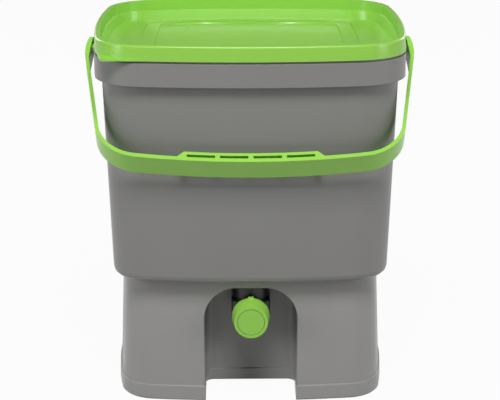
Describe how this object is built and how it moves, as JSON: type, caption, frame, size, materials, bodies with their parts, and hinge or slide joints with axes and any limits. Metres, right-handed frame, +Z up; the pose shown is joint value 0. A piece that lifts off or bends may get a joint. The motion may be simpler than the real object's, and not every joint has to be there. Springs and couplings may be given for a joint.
{
  "type": "kitchen composting bin with drain tap",
  "caption": "Rectangular plastic fermenting bin on a niched stand, with a recessed push-on lid, swinging bail handle, inner drain grate and turn-knob drain tap",
  "frame": {"origin": "centre of the stand's base, on the floor", "axes": "+Z up, the tap and its niche face -Y, +X to the right when looking at the tap"},
  "size_m": [0.331, 0.2722, 0.3715],
  "materials": {
    "grey_plastic": "injection moulded grey polypropylene, satin",
    "green_plastic": "injection moulded lime green polypropylene, semi-gloss",
    "dark_grey_plastic": "injection moulded dark grey polypropylene",
    "black_plastic": "injection moulded black polypropylene",
    "seal_rubber": "soft black rubber",
    "screw_steel": "zinc plated steel"
  },
  "bodies": {
    "base": {"stand": "grey_plastic", "bin_body": "grey_plastic", "outlet_strainer": "dark_grey_plastic", "tap_gasket": "seal_rubber", "tap_nut": "black_plastic", "tap_body": "black_plastic", "spindle_retainer": "black_plastic"},
    "lid": {"lid": "green_plastic", "lid_seal": "seal_rubber"},
    "handle": {"carry_handle": "green_plastic"},
    "grate": {"drain_grate": "dark_grey_plastic"},
    "tap_plug": {"tap_spindle": "dark_grey_plastic", "spindle_seals": "seal_rubber", "tap_knob": "green_plastic", "knob_cap": "green_plastic", "knob_screw": "screw_steel"}
  },
  "joints": [
    {"name": "lid_lift", "type": "slide", "parent": "base", "child": "lid", "axis": [0, 0, 1], "range_m": [0, 0.08]},
    {"name": "handle_swing", "type": "hinge", "parent": "base", "child": "handle", "pos_m": [0, 0, 0.3434], "axis": [-1, 0, 0], "range_deg": [0, 246.5]},
    {"name": "grate_lift", "type": "slide", "parent": "base", "child": "grate", "axis": [0, 0, 1], "range_m": [0, 0.185]},
    {"name": "tap_turn", "type": "hinge", "parent": "base", "child": "tap_plug", "pos_m": [0, -0.081, 0.0919], "axis": [0, -1, 0], "range_deg": [0, 90]}
  ]
}
